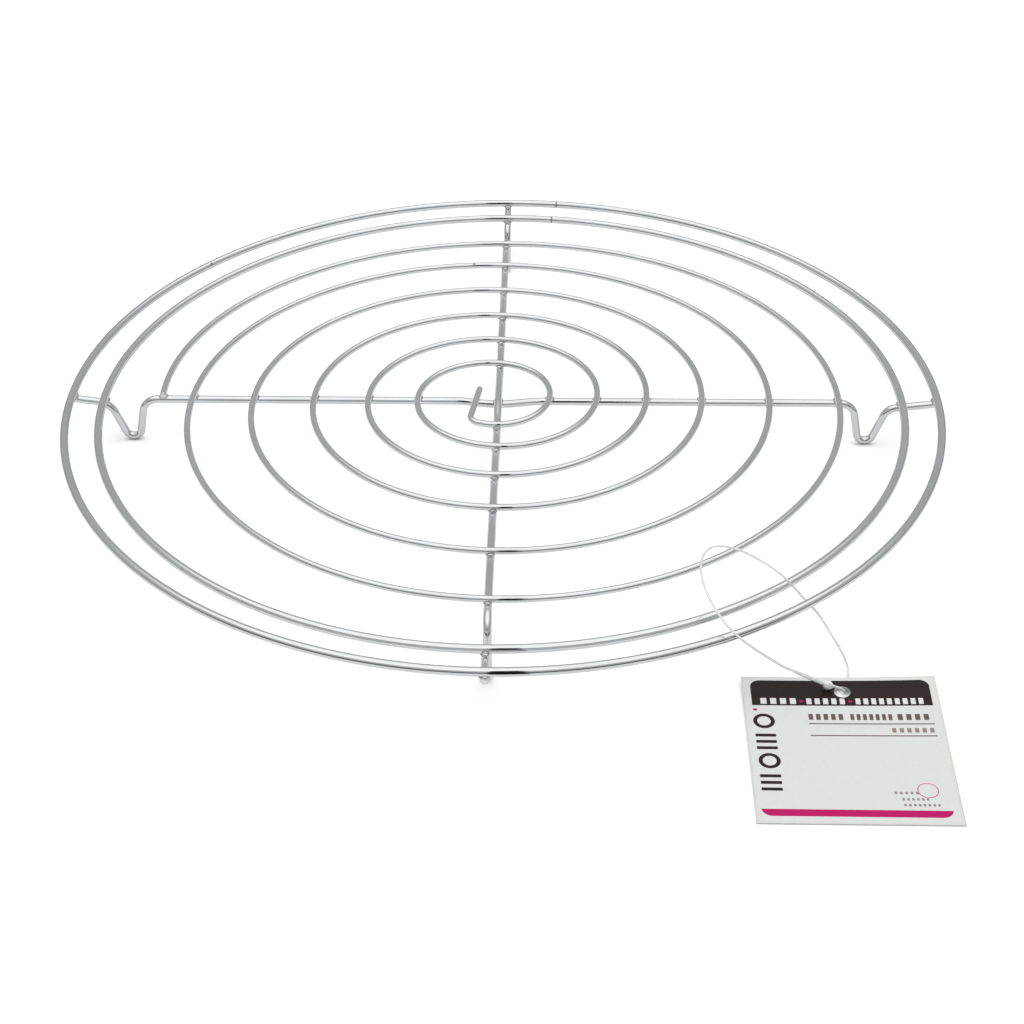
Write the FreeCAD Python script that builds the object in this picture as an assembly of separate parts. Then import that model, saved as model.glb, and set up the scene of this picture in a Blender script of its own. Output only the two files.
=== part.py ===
import FreeCAD, Part
from FreeCAD import Vector
import math
import os

# Round wire cooling rack with its swing tag. Millimetres, +Z up, X to the right, Y to the back.
# The origin is the centre of the outer rim, on the surface that the rack's feet stand on.

# ---- Driving dimensions of the rack -------------------------------------------------------
overall_diameter = 320.0
overall_height = 21.5
rim_wire = 3.0
leg_wire = 2.8
spiral_wire = 2.4
set_down = 0.25                 # how far a welded wire sinks into the wire below it
rim_gap = 12.1                  # between the two rims' centre lines
inner_rim_drop = 1.6            # the inner rim lies this much below the outer one
inner_rim_centre = Vector(-0.5, 0.9, 0)
grid_centre = Vector(-1.5, 1.0, 0)    # where the cross wires meet, inside the spiral
butt_weld_angle = 83.0          # from +X, where both rims were closed
butt_weld_width = 0.6
butt_weld_depth = 0.08          # the weld lies this much under the wire's surface

# The legs: each cross wire dips into a V under the inner rim at both ends. The wires are bent by
# hand, so three sizes differ from arm to arm and are given for the left, back, right and front.
foot_insets = (10.0, 11.0, 11.0, 9.0)          # from the inner rim in to the bottom of each V
outer_shoulder_bends = (7.5, 6.0, 5.5, 6.0)    # bend radii, all to the wire's centre line
outer_shoulder_leads = (3.0, 0.0, -1.5, 0.0)   # how far past the inner rim the bend starts
inner_shoulder_bend = 6.2
foot_bend = 3.0
foot_half_width = 10.6          # from the bottom of a V in to where the wire is straight
leg_end_overhang = 1.2          # past the outer rim's centre line
cross_bow_reach = 16.5          # the two cross wires bow apart this far from the centre
wire_end_round = 0.5

# The spiral: how far inside the inner rim's radius it crosses the left, back, right and front
# arms of the cross wires, turn by turn.
spiral_insets = (
    (22.8, 26.1, 22.2, 23.6),
    (34.2, 45.1, 47.4, 49.6),
    (56.8, 66.1, 71.9, 74.6),
    (78.9, 86.5, 92.1, 94.5),
    (98.9, 105.3, 110.2, 112.5),
    (117.1, 123.0, 127.5, 126.7),
)
spiral_start_swell = 9.0        # outward drift of the first quarter turn, before it settles
spiral_start_overhang = 1.6     # past the side arm that the outer end is welded on
spiral_end_run = 7.0            # from the last crossing to the bend at the inner end
spiral_end_bend = 4.3
spiral_end_heading = 82.0       # of the straight tail, from +X
spiral_tail = 19.0

# Weld flash: a lens of metal squeezed out round each crossing.
flash_spread = 0.5              # past the thinner wire's surface
flash_fullness = 1.0            # the lens's height over its radius

# ---- Driving dimensions of the swing tag and its loop --------------------------------------
card_width = 60.5
card_length = 64.5
card_thickness = 0.4
card_hole_radius = 2.5
card_hole_inset = 7.0           # from the top edge
card_hole_place = Vector(109.5, -144.5, 0)
card_lift = 1.25                # the card's underside at the hole, where it lies on the loop
loop_diameter = 0.8
socket_radius = 1.6
socket_place = Vector(104.9, -143.5, 3.7)
neck_radius = 0.75
tip_root_radius = 0.75          # the locking tip, where it leaves the socket
tip_insertion = 1.0             # how deep the tip sits in the socket

# The loop's route, from the socket's neck, down through the card's hole, under the card, in
# under the outer rim, up between the rims, over the grid, and out over both rims.
loop_route = (
    Vector(107.1, -144.0, 3.5),
    Vector(110.0, -144.8, 3.3),
    Vector(110.4, -144.0, 0.5),
    Vector(111.6, -140.0, 0.42),
    Vector(113.1, -132.8, 0.6),
    Vector(111.6, -129.8, 4.4),
    Vector(107.9, -126.0, 9.2),
    Vector(103.9, -119.2, 13.0),
    Vector(99.4, -116.2, 16.4),
    Vector(95.0, -115.4, 21.8),
    Vector(89.7, -112.2, 25.6),
    Vector(80.1, -102.4, 25.6),
    Vector(72.9, -98.8, 25.0),
    Vector(68.4, -101.4, 25.0),
    Vector(66.1, -109.4, 25.4),
    Vector(66.3, -121.4, 25.9),
    Vector(69.4, -135.6, 26.2),
    Vector(74.7, -144.6, 24.4),
    Vector(82.5, -146.6, 18.9),
    Vector(90.1, -146.2, 13.2),
)

# ---- Heights and radii that follow ---------------------------------------------------------
rim_radius = (overall_diameter - rim_wire) / 2
rim_height = overall_height - rim_wire / 2
leg_height = rim_height - (rim_wire + leg_wire) / 2 + set_down
spiral_height = leg_height + (leg_wire + spiral_wire) / 2 - set_down
inner_rim_radius = rim_radius - rim_gap
cross_bow = (leg_wire - set_down) / 2
rim_flash_radius = leg_wire / 2 + flash_spread
spiral_flash_radius = spiral_wire / 2 + flash_spread
seat_height = leg_height + (leg_wire - set_down) / 2
UP = Vector(0, 0, 1)
LEFT_BACK_RIGHT_FRONT = (Vector(-1, 0, 0), Vector(0, 1, 0), Vector(1, 0, 0), Vector(0, -1, 0))


# ---- Paths ---------------------------------------------------------------------------------
def arc_in_corner(start, corner, end):
    """Arc that leaves start towards corner and reaches end from it, both equally far off."""
    chord_middle = (start + end) / 2
    sagitta_line = corner - chord_middle
    half_chord = (end - start).Length / 2
    half_turn = math.atan2(sagitta_line.Length, half_chord)
    if half_turn < 1e-6:
        return Part.makeLine(start, end)
    bulge = half_chord * math.tan(half_turn / 2)
    middle = chord_middle + sagitta_line.normalize() * bulge
    return Part.Arc(start, middle, end).toShape()


def two_arcs(start, heading, end, end_heading):
    """Two arcs that join two points smoothly in the given headings."""
    across = end - start
    headings = heading + end_heading
    spread = 2 * (1 - heading.dot(end_heading))
    along = across.dot(headings)
    if spread < 1e-9:
        reach = across.dot(across) / (2 * along)
    else:
        reach = (math.sqrt(along * along + spread * across.dot(across)) - along) / spread
    first_corner = start + heading * reach
    second_corner = end - end_heading * reach
    joint = (first_corner + second_corner) / 2
    return [arc_in_corner(start, first_corner, joint), arc_in_corner(joint, second_corner, end)]


def round_section(radius, centre, tangent):
    """A round section whose seam lies at its side, clear of the seats above and below."""
    circle = Part.Circle(centre, tangent, radius)
    circle.XAxis = UP.cross(tangent)
    return Part.Wire(circle.toShape())


def round_tube(edges, radius):
    """Solid round wire along a chain of edges."""
    path = Part.Wire(edges)
    first = path.OrderedEdges[0]
    start = path.OrderedVertexes[0].Point
    at_start = first.FirstParameter if first.valueAt(first.FirstParameter).isEqual(start, 1e-6) \
        else first.LastParameter
    section = round_section(radius, start, first.tangentAt(at_start))
    return path.makePipeShell([section], True, False)


def round_ends(solid, end_points, size):
    """Rounds the rims of the two cut ends of a wire."""
    rims = []
    for edge in solid.Edges:
        closed = len(edge.Vertexes) == 1
        if closed and any(edge.CenterOfMass.distanceToPoint(point) < 0.01 for point in end_points):
            rims.append(edge)
    return solid.makeFillet(size, rims)


def tidy(shape):
    """The single solid in a shape."""
    return shape.Solids[0] if len(shape.Solids) == 1 else shape


# ---- Rims ----------------------------------------------------------------------------------
def closed_rim(radius, centre):
    """A ring of rim wire, and the thin weld disc that closes it."""
    half_gap = math.degrees(butt_weld_width / radius) / 2
    first_angle = butt_weld_angle + half_gap
    sweep = 360 - 2 * half_gap
    radial = Vector(math.cos(math.radians(first_angle)), math.sin(math.radians(first_angle)), 0)
    tangent = UP.cross(radial)
    section_centre = centre + radial * radius
    section = Part.Face(round_section(rim_wire / 2, section_centre, tangent))
    ring = section.revolve(centre, UP, sweep)
    weld_radius = rim_wire / 2 - butt_weld_depth
    weld_section = Part.Face(round_section(weld_radius, section_centre, tangent))
    weld = weld_section.revolve(centre, UP, -2 * half_gap)
    return tidy(ring), tidy(weld)


def rim_crossing(direction, radius, rim_centre):
    """How far from the grid's centre a rim crosses the arm that runs in a direction."""
    shift = rim_centre - grid_centre
    along = shift.dot(direction)
    aside = shift.dot(UP.cross(direction))
    return along + math.sqrt(radius ** 2 - aside ** 2)


def inner_crossing(direction):
    """How far out the inner rim crosses an arm."""
    return rim_crossing(direction, inner_rim_radius, inner_rim_centre)


def outer_crossing(direction):
    """How far out the outer rim crosses an arm."""
    return rim_crossing(direction, rim_radius, Vector())


# ---- Cross wires with their feet -----------------------------------------------------------
def common_tangent(top_centre, top_radius, low_centre, low_radius, side):
    """Tangent points of the line that crosses between two circles, in the (x, z) plane."""
    between = low_centre - top_centre
    swing = math.acos((top_radius + low_radius) / between.Length) * side
    unit = between.normalize()
    normal = Vector(unit.x * math.cos(swing) - unit.z * math.sin(swing), 0,
                    unit.x * math.sin(swing) + unit.z * math.cos(swing))
    return top_centre + normal * top_radius, low_centre - normal * low_radius


def bend_about(centre, start, end):
    """Arc about a centre, the short way round."""
    radius = (start - centre).Length
    middle = centre + ((start - centre) + (end - centre)).normalize() * radius
    return Part.Arc(start, middle, end).toShape()


def inner_seat(direction):
    """Where an arm's centre line passes under the inner rim, in the (x, z) plane."""
    return Vector(inner_crossing(direction), 0, leg_height - inner_rim_drop)


def wire_end(direction):
    """Where an arm ends, in the (x, z) plane, on its straight run up past the outer rim."""
    outer_seat = Vector(outer_crossing(direction), 0, leg_height)
    outward = (outer_seat - inner_seat(direction)).normalize()
    return outer_seat + outward * leg_end_overhang


def arm(quarter, bow):
    """Path of half a cross wire, from the grid's centre out to its end, in the (x, z) plane."""
    direction = LEFT_BACK_RIGHT_FRONT[quarter]
    top = leg_height
    reach = cross_bow_reach
    bow_bend = (reach ** 2 + bow ** 2) / (4 * abs(bow))
    sign = math.copysign(1, bow)
    apex = Vector(0, 0, top + bow)
    bow_middle = Vector(reach / 2, 0, top + bow / 2)
    bow_end = Vector(reach, 0, top)
    apex_centre = apex - UP * (sign * bow_bend)
    end_centre = bow_end + UP * (sign * bow_bend)

    foot_radius = inner_rim_radius - foot_insets[quarter]
    inner_centre = Vector(foot_radius - foot_half_width, 0, top - inner_shoulder_bend)
    foot_centre = Vector(foot_radius, 0, leg_wire / 2 + foot_bend)
    outer_shoulder_bend = outer_shoulder_bends[quarter]
    outer_run_end = wire_end(direction)
    outer_run = (outer_run_end - inner_seat(direction)).normalize()
    outer_run_start = inner_seat(direction) + outer_run * outer_shoulder_leads[quarter]
    outer_centre = outer_run_start + Vector(outer_run.z, 0, -outer_run.x) * outer_shoulder_bend
    inner_top, inner_low = common_tangent(inner_centre, inner_shoulder_bend,
                                          foot_centre, foot_bend, 1)
    outer_top, outer_low = common_tangent(outer_centre, outer_shoulder_bend,
                                          foot_centre, foot_bend, -1)
    inner_flat = inner_centre + UP * inner_shoulder_bend
    foot_bottom = foot_centre - UP * foot_bend
    return [
        bend_about(apex_centre, apex, bow_middle),
        bend_about(end_centre, bow_middle, bow_end),
        Part.makeLine(bow_end, inner_flat),
        bend_about(inner_centre, inner_flat, inner_top),
        Part.makeLine(inner_top, inner_low),
        bend_about(foot_centre, inner_low, foot_bottom),
        bend_about(foot_centre, foot_bottom, outer_low),
        Part.makeLine(outer_low, outer_top),
        bend_about(outer_centre, outer_top, outer_run_start),
        Part.makeLine(outer_run_start, outer_run_end),
    ]


def cross_wire(far_quarter, near_quarter, bow):
    """A whole cross wire, made of two opposite arms that meet at the grid's centre."""
    halves = []
    ends = []
    for quarter in (far_quarter, near_quarter):
        direction = LEFT_BACK_RIGHT_FRONT[quarter]
        half = arm(quarter, bow)
        for edge in half:
            edge.rotate(Vector(), UP, 180 - 90 * quarter)
            edge.translate(grid_centre)
        halves.append(half)
        end = wire_end(direction)
        ends.append(grid_centre + direction * end.x + UP * end.z)
    path = list(reversed(halves[0])) + halves[1]
    return round_ends(round_tube(path, leg_wire / 2), ends, wire_end_round)


# ---- Spiral --------------------------------------------------------------------------------
def compass(degrees):
    """Unit vector at an angle from +X, seen from above."""
    return Vector(math.cos(math.radians(degrees)), math.sin(math.radians(degrees)), 0)


def spiral_turns(radii):
    """The spiral's arcs, from its outer end to its last crossing. They turn clockwise."""
    drifts = [spiral_start_swell]
    drifts += [(after - before) / 2 for before, after in zip(radii, radii[2:])]
    drifts += [0.0]
    points = []
    headings = []
    for quarter, (radius, drift) in enumerate(zip(radii, drifts)):
        outward = LEFT_BACK_RIGHT_FRONT[quarter % 4]
        clockwise = outward.cross(UP)
        points.append(outward * radius)
        headings.append((outward * drift + clockwise * (radius * math.pi / 2)).normalize())
    edges = [Part.makeLine(points[0] - headings[0] * spiral_start_overhang, points[0])]
    for place in range(len(points) - 1):
        edges += two_arcs(points[place], headings[place], points[place + 1], headings[place + 1])
    return edges


def spiral_inner_end(coil_radius):
    """The run past the last crossing, the bend in towards the middle, and the straight tail."""
    swing = math.degrees(spiral_end_run / coil_radius)
    run_heading = 180 - swing
    last_crossing = Vector(0, -coil_radius, 0)
    bend_start = compass(run_heading + 90) * coil_radius
    bend_centre = bend_start + compass(run_heading - 90) * spiral_end_bend
    bend_end = bend_centre + compass(spiral_end_heading + 90) * spiral_end_bend
    tail_end = bend_end + compass(spiral_end_heading) * spiral_tail
    return [
        bend_about(Vector(), last_crossing, bend_start),
        bend_about(bend_centre, bend_start, bend_end),
        Part.makeLine(bend_end, tail_end),
    ]


def spiral_grid():
    """The spiral wire."""
    radii = [inner_rim_radius - inset for turn in spiral_insets for inset in turn]
    edges = spiral_turns(radii) + spiral_inner_end(radii[-1])
    for edge in edges:
        edge.translate(grid_centre + UP * spiral_height)
    ends = [edges[0].Vertexes[0].Point, edges[-1].Vertexes[-1].Point]
    return round_ends(round_tube(edges, spiral_wire / 2), ends, wire_end_round)


# ---- Welds ---------------------------------------------------------------------------------
def flash(place, radius, *wires):
    """A lens of squeezed-out metal at a crossing, cut back to the wires that it joins."""
    half_height = radius * flash_fullness / 2
    ball_radius = (radius ** 2 + half_height ** 2) / (2 * half_height)
    drop = ball_radius - half_height
    upper = Part.makeSphere(ball_radius, place - UP * drop)
    lower = Part.makeSphere(ball_radius, place + UP * drop)
    lens = upper.common(lower)
    for wire in wires:
        lens = lens.cut(wire)
    return max(lens.Solids, key=lambda solid: solid.Volume)


def welds_on_arms(distances_of, drop, radius, upper_wire, side_wire, front_wire):
    """The flash wherever a wire crosses the four arms, at the distances given for each arm."""
    welds = []
    for quarter, direction in enumerate(LEFT_BACK_RIGHT_FRONT):
        arm_wire = side_wire if direction.y == 0 else front_wire
        for distance in distances_of(quarter, direction):
            place = grid_centre + direction * distance + UP * (seat_height - drop)
            welds.append(flash(place, radius, upper_wire, arm_wire))
    return Part.Compound(welds)


def outer_weld_distances(quarter, direction):
    """The flash stays inside the outer rim's outer edge."""
    return [outer_crossing(direction) + rim_wire / 2 - rim_flash_radius]


def inner_weld_distances(quarter, direction):
    return [inner_crossing(direction)]


def spiral_weld_distances(quarter, direction):
    return [inner_rim_radius - turn[quarter] for turn in spiral_insets]


# ---- Swing tag and loop --------------------------------------------------------------------
def swing_card():
    """The card, tipped a little so that its far edge lies on the surface."""
    run = card_length - card_hole_inset
    tilt = math.degrees(math.asin(card_lift / run))
    card = Part.makeBox(card_width, card_length, card_thickness,
                        Vector(-card_width / 2, -run, 0))
    hole = Part.makeCylinder(card_hole_radius, 3 * card_thickness, UP * -card_thickness)
    card = card.cut(hole)
    card.rotate(Vector(), Vector(1, 0, 0), tilt)
    card.translate(card_hole_place + UP * card_lift)
    return card


def loop_tube():
    """The loop's strand: straight runs joined by arcs. Prints its length and its arcs' radii."""
    points = loop_route
    runs = [(after - before).Length for before, after in zip(points, points[1:])]
    edges = []
    radii = []
    place = points[0]
    for index in range(1, len(points) - 1):
        corner = points[index]
        reach = 0.45 * min(runs[index - 1], runs[index])
        arriving = (corner - points[index - 1]).normalize()
        leaving = (points[index + 1] - corner).normalize()
        arc_start = corner - arriving * reach
        arc_end = corner + leaving * reach
        edges.append(Part.makeLine(place, arc_start))
        edges.append(arc_in_corner(arc_start, corner, arc_end))
        radii.append(reach / math.tan(arriving.getAngle(leaving) / 2))
        place = arc_end
    edges.append(Part.makeLine(place, points[-1]))
    length = sum(edge.Length for edge in edges)
    tube = round_tube(edges, loop_diameter / 2)
    section = math.pi * loop_diameter ** 2 / 4
    print("loop length", round(length, 2), "volume over section times length",
          round(tube.Volume / (section * length), 4))
    print("loop radii", [round(radius, 1) for radius in radii])
    print("loop runs", [round(run, 1) for run in runs])
    return tube


def tapered(start, end, start_radius, end_radius):
    """A cone between two points."""
    axis = end - start
    return Part.makeCone(start_radius, end_radius, axis.Length, start, axis)


def locking_tip():
    """The thicker locking end of the loop, from inside the socket to the strand."""
    strand_end = loop_route[-1]
    inward = (socket_place - strand_end).normalize()
    root = socket_place - inward * (socket_radius - tip_insertion)
    return tapered(root, strand_end, tip_root_radius, loop_diameter / 2)


def socket(tip):
    """The ball that the tip locks into, with its neck running out to the strand."""
    ball = Part.makeSphere(socket_radius, socket_place)
    neck = tapered(socket_place, loop_route[0], neck_radius, loop_diameter / 2)
    return tidy(ball.fuse(neck).removeSplitter().cut(tip))


# ---- Assembly ------------------------------------------------------------------------------
def build():
    """Every node of the rack, by name."""
    outer_rim, outer_rim_butt_weld = closed_rim(rim_radius, UP * rim_height)
    inner_rim_place = inner_rim_centre + UP * (rim_height - inner_rim_drop)
    inner_rim, inner_rim_butt_weld = closed_rim(inner_rim_radius, inner_rim_place)
    spiral = spiral_grid()
    side_wire_blank = cross_wire(0, 2, -cross_bow)
    front_wire_blank = cross_wire(3, 1, cross_bow)
    upper_wires = [outer_rim, inner_rim, spiral]
    front_wire = front_wire_blank.cut(upper_wires)
    side_wire = side_wire_blank.cut(upper_wires + [front_wire_blank])
    lower_wires = (side_wire, front_wire)
    tip = locking_tip()
    return {
        "outer_rim": outer_rim,
        "inner_rim": inner_rim,
        "outer_rim_butt_weld": outer_rim_butt_weld,
        "inner_rim_butt_weld": inner_rim_butt_weld,
        "spiral_grid": tidy(spiral),
        "side_to_side_leg_wire": tidy(side_wire),
        "front_to_back_leg_wire": tidy(front_wire),
        "outer_rim_welds": welds_on_arms(outer_weld_distances, 0, rim_flash_radius,
                                         outer_rim, *lower_wires),
        "inner_rim_welds": welds_on_arms(inner_weld_distances, inner_rim_drop, rim_flash_radius,
                                         inner_rim, *lower_wires),
        "spiral_welds": welds_on_arms(spiral_weld_distances, 0, spiral_flash_radius,
                                      spiral, *lower_wires),
        "centre_weld": flash(grid_centre + UP * leg_height, rim_flash_radius, *lower_wires),
        "swing_tag": swing_card(),
        "tag_loop": loop_tube(),
        "tag_loop_socket": socket(tip),
        "tag_loop_tip": tip,
    }


os.makedirs("parts", exist_ok=True)
for name, shape in build().items():
    shape.exportStep("parts/" + name + ".step")
    box = shape.BoundBox
    print(name, "solids", len(shape.Solids), "valid", shape.isValid(),
          "volume", round(shape.Volume, 2),
          "box", [round(value, 2) for value in (box.XMin, box.XMax, box.YMin, box.YMax,
                                                box.ZMin, box.ZMax)])
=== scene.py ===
# %% [markdown]
# # A round cooling rack with its swing tag
# The rack is chromed steel wire: two rims, a spiral to cool the cake on, and two cross wires
# that dip into four feet. A printed card hangs from it on a plastic loop.
# The frame brings in the rack's parts at their true sizes. It could be drawn as it comes, but
# chrome shows every facet of a mesh, so each wire is swept again here as a finer, smoother tube.

# %% Load the frame
from math import cos, hypot, pi, radians, sin, sqrt, tau

import bpy
import numpy as np
from mathutils import Matrix, Vector


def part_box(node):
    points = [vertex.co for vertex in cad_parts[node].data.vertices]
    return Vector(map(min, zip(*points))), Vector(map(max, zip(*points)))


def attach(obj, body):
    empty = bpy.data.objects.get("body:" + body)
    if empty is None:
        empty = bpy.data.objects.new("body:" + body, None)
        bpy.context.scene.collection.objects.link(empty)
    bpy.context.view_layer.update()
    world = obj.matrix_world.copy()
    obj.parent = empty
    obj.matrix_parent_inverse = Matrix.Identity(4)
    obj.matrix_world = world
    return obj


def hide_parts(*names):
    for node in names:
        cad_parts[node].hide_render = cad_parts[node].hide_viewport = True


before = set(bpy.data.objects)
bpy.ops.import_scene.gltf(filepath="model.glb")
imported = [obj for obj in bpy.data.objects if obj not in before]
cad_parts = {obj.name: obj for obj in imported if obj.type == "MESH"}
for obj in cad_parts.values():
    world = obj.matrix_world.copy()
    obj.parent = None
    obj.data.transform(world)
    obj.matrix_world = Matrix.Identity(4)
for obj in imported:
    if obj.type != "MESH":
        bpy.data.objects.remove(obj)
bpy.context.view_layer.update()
print("nodes", sorted(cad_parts))

# %% [markdown]
# ## Camera
# A product camera looks down at the rack from the front with a long lens, which keeps the far
# rim nearly as wide as the near one. A target with a direction and a distance is easier to
# reason about than six raw numbers, so the camera is placed that way.

# %% Camera
look_at = Vector((0.0006, -0.0740, 0.0200))
camera_turn = radians(1.9)          # to the right of straight in front
camera_rise = radians(34.91)
camera_distance = 0.681
camera_roll = radians(-0.64)

camera = bpy.data.objects.new("camera", bpy.data.cameras.new("camera"))
bpy.context.scene.collection.objects.link(camera)
towards_camera = Vector((sin(camera_turn) * cos(camera_rise),
                         -cos(camera_turn) * cos(camera_rise),
                         sin(camera_rise)))
camera.location = look_at + towards_camera * camera_distance
upright = towards_camera.to_track_quat("Z", "Y").to_matrix()
camera.rotation_euler = (upright @ Matrix.Rotation(camera_roll, 3, "Z")).to_euler()
camera.data.lens = 71.1
camera.data.shift_x = 0.0131
bpy.context.scene.camera = camera
print("camera at", [round(v, 4) for v in camera.location])

# %% [markdown]
# ## The tag's plastic loop
# The loop is one thin nylon strand, moulded with a socket at one end and a locking tip at the
# other. It could be a mesh tube, but a curve with a round bevel keeps its real centre line.
# The control points of a NURBS spline pull the strand into smooth bends between them.

# %% The strand
mm = 0.001
strand_diameter = 0.8 * mm
strand_route = mm * np.array([
    (107.1, -144.0, 3.5), (110.0, -144.8, 3.3), (110.4, -144.0, 0.5), (111.6, -140.0, 0.42),
    (113.1, -132.8, 0.6), (111.6, -129.8, 4.4), (107.9, -126.0, 9.2), (103.9, -119.2, 13.0),
    (99.4, -116.2, 16.4), (95.0, -115.4, 21.8), (89.7, -112.2, 25.6), (80.1, -102.4, 25.6),
    (72.9, -98.8, 25.0), (68.4, -101.4, 25.0), (66.1, -109.4, 25.4), (66.3, -121.4, 25.9),
    (69.4, -135.6, 26.2), (74.7, -144.6, 24.4), (82.5, -146.6, 18.9), (90.1, -146.2, 13.2),
])


def link(name, data):
    """A new object in the scene."""
    piece = bpy.data.objects.new(name, data)
    bpy.context.scene.collection.objects.link(piece)
    return piece


strand_curve = bpy.data.curves.new("loop_strand", "CURVE")
strand_curve.dimensions = "3D"
strand_curve.resolution_u = 10
strand_curve.bevel_depth = 1.0      # times each point's own radius
strand_curve.bevel_resolution = 5
strand_curve.use_fill_caps = True
spline = strand_curve.splines.new("NURBS")
spline.points.add(len(strand_route) - 1)
spline.points.foreach_set("co", np.c_[strand_route, np.ones(len(strand_route))].ravel())
spline.points.foreach_set("radius", np.full(len(strand_route), strand_diameter / 2))
spline.order_u = 3
spline.use_endpoint_u = True
strand = link("loop_strand", strand_curve)


def centre_line(curve):
    """The points of a curve's own line, as it is without its bevel."""
    bare = curve.copy()
    bare.bevel_depth = 0
    holder = bpy.data.objects.new("line", bare)
    line = bpy.data.meshes.new_from_object(holder)
    points = np.empty(3 * len(line.vertices))
    line.vertices.foreach_get("co", points)
    bpy.data.objects.remove(holder)
    bpy.data.meshes.remove(line)
    bpy.data.curves.remove(bare)
    return points.reshape(-1, 3)


strand_line = centre_line(strand_curve)

# %% [markdown]
# ## Paths and meshes from arrays
# A path is an array of points, one row each. Stations are distances along it, and numpy finds
# the points there by straight interpolation. A mesh is made from whole arrays in one call, which
# is far quicker than adding its vertices one by one.

# %% Path and mesh helpers
def evenly(path, stations):
    """Points of a dense path at the given distances along it."""
    steps = np.linalg.norm(np.diff(path, axis=0), axis=1)
    along = np.r_[0, np.cumsum(steps)]
    return np.stack([np.interp(stations, along, axis) for axis in path.T], axis=1)


def path_length(path):
    """The sum of a path's steps."""
    return float(np.linalg.norm(np.diff(path, axis=0), axis=1).sum())


def new_mesh(name, points, faces, uv, uv_name="wire_uv"):
    """A smooth mesh object from points, faces, and one UV pair for each corner of each face."""
    mesh = bpy.data.meshes.new(name)
    mesh.from_pydata(points.tolist(), [], faces)
    layer = mesh.uv_layers.new(name=uv_name)
    layer.uv.foreach_set("vector", np.asarray(uv, dtype=np.float32).ravel())
    mesh.polygons.foreach_set("use_smooth", np.ones(len(mesh.polygons), dtype=bool))
    mesh.update()
    return link(name, mesh)


def ring_faces(rings, sides):
    """Quads between neighbouring rings, as ring and side numbers of their corners."""
    ring, side = np.meshgrid(np.arange(rings - 1), np.arange(sides), indexing="ij")
    ring, side = ring.ravel(), side.ravel()
    corners = np.stack([np.stack([ring, side], 1), np.stack([ring, side + 1], 1),
                        np.stack([ring + 1, side + 1], 1), np.stack([ring + 1, side], 1)], 1)
    return corners


# %% [markdown]
# ## A round skin with closed ends
# Round wire, the loop's socket and its tip are all rings of points carried along a line. A
# modifier could do it, but a skin of our own gives each face a UV in real metres, so that
# scratches keep their size, and closes both ends with a pole.

# %% Round skin
def skin(name, centres, side_axis, up_axis, radii, along, sides=24):
    """A closed round skin. A ring's points are centre + radius (cos a * side + sin a * up), and
    a pole closes each end. The UV is the distance along and around, in metres."""
    rings = len(centres)
    angle = np.arange(sides) * tau / sides
    around = np.cos(angle)[None, :, None] * side_axis[:, None] \
        + np.sin(angle)[None, :, None] * up_axis[:, None]
    points = (centres[:, None] + radii[:, None, None] * around).reshape(-1, 3)
    points = np.r_[points, centres[:1], centres[-1:]]
    corners = ring_faces(rings, sides)
    quads = corners[..., 0] * sides + corners[..., 1] % sides
    step = radii.max() * tau / sides
    quad_uv = np.stack([along[corners[..., 0]], corners[..., 1] * step], axis=-1)
    side = np.arange(sides)
    first, last = rings * sides, rings * sides + 1
    start_fan = np.stack([np.full(sides, first), (side + 1) % sides, side], 1)
    end_fan = np.stack([np.full(sides, last), side + (rings - 1) * sides,
                        (side + 1) % sides + (rings - 1) * sides], 1)
    turn = np.stack([side + 0.5, side + 1, side], 1) * step
    start_uv = np.stack([np.full((sides, 3), along[0]), turn], -1)
    end_uv = np.stack([np.full((sides, 3), along[-1]), turn[:, [0, 2, 1]]], -1)
    faces = quads.tolist() + start_fan.tolist() + end_fan.tolist()
    uv = np.r_[quad_uv.reshape(-1, 2), start_uv.reshape(-1, 2), end_uv.reshape(-1, 2)]
    return new_mesh(name, points, faces, uv)


# %% [markdown]
# ## Round wire
# Every wire of the rack lies in one flat plane, level for the rims and the spiral and upright
# for the cross wires. A ring of points square to the path is then easy: one axis of the ring is
# the plane's own normal and the other is square to both the normal and the path.

# %% Sweeping a round wire
def round_wire(name, path, normal, radius, end_round, spacing=1.2 * mm, sides=24):
    """A wire swept along a flat path. Near each end the radius is
    radius - round + sqrt(round^2 - (round - distance)^2), which rounds the rim of the end."""
    length = path_length(path)
    eased = end_round * (1 - np.cos(np.linspace(0, pi / 2, 6)))
    body = np.linspace(end_round, length - end_round, int(length / spacing))
    stations = np.r_[eased[:-1], body, length - eased[-2::-1]]
    from_end = np.minimum(np.minimum(stations, length - stations), end_round)
    radii = radius - end_round + np.sqrt(end_round ** 2 - (end_round - from_end) ** 2)
    centres = evenly(path, stations)
    probe = 0.05 * mm
    ahead = evenly(path, np.minimum(stations + probe, length))
    behind = evenly(path, np.maximum(stations - probe, 0))
    direction = ahead - behind
    direction /= np.linalg.norm(direction, axis=1, keepdims=True)
    up_axis = np.broadcast_to(np.asarray(normal, dtype=float), centres.shape)
    side_axis = np.cross(up_axis, direction)
    piece = skin(name, centres, side_axis, up_axis, radii, stations, sides)
    print(name, "length", round(length, 4), "faces", len(piece.data.polygons))
    return piece


# %% [markdown]
# ## The two rims
# Each rim is a ring of thicker wire, closed by a butt weld near the back. The weld is its own
# thin disc, so the ring stops just short of it on both sides, with its end corners eased.

# %% Rims
UP = (0.0, 0.0, 1.0)
rim_wire = 3.0 * mm
butt_weld_angle = radians(83)
butt_weld_width = 0.6 * mm


def box_centre(node):
    """The middle of a node's box."""
    low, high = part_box(node)
    return (np.array(low) + np.array(high)) / 2


def box_size(node):
    """The width, depth and height of a node's box."""
    low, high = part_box(node)
    return np.array(high) - np.array(low)


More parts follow.
